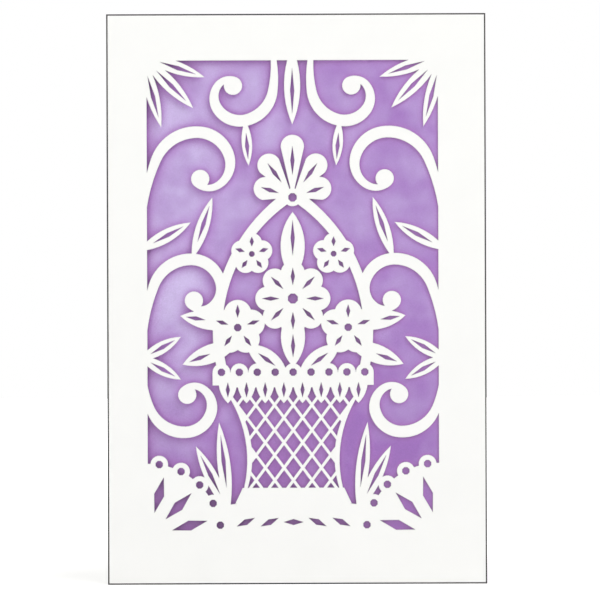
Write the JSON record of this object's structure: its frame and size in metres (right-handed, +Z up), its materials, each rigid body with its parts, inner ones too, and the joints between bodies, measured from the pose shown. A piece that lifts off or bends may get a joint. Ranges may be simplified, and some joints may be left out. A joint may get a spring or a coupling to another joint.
{
  "type": "greeting card",
  "caption": "Folded white greeting card standing open, with a lace-like cut window over a folded purple paper insert.",
  "frame": {"origin": "middle of the foot of the standing card, on the surface that it stands on", "axes": "+Z up along the fold, -Y out of the front panel's printed side, +X from the fold to the front panel's free edge"},
  "size_m": [0.127, 0.0824, 0.191],
  "materials": {
    "white_card": "smooth white card, laser cut",
    "purple_paper": "pearlescent purple paper",
    "clear_adhesive": "clear double-sided adhesive film"
  },
  "bodies": {
    "root": {"laser_cut_card": "white_card", "purple_insert": "purple_paper", "adhesive_strip": "clear_adhesive"}
  },
  "joints": []
}
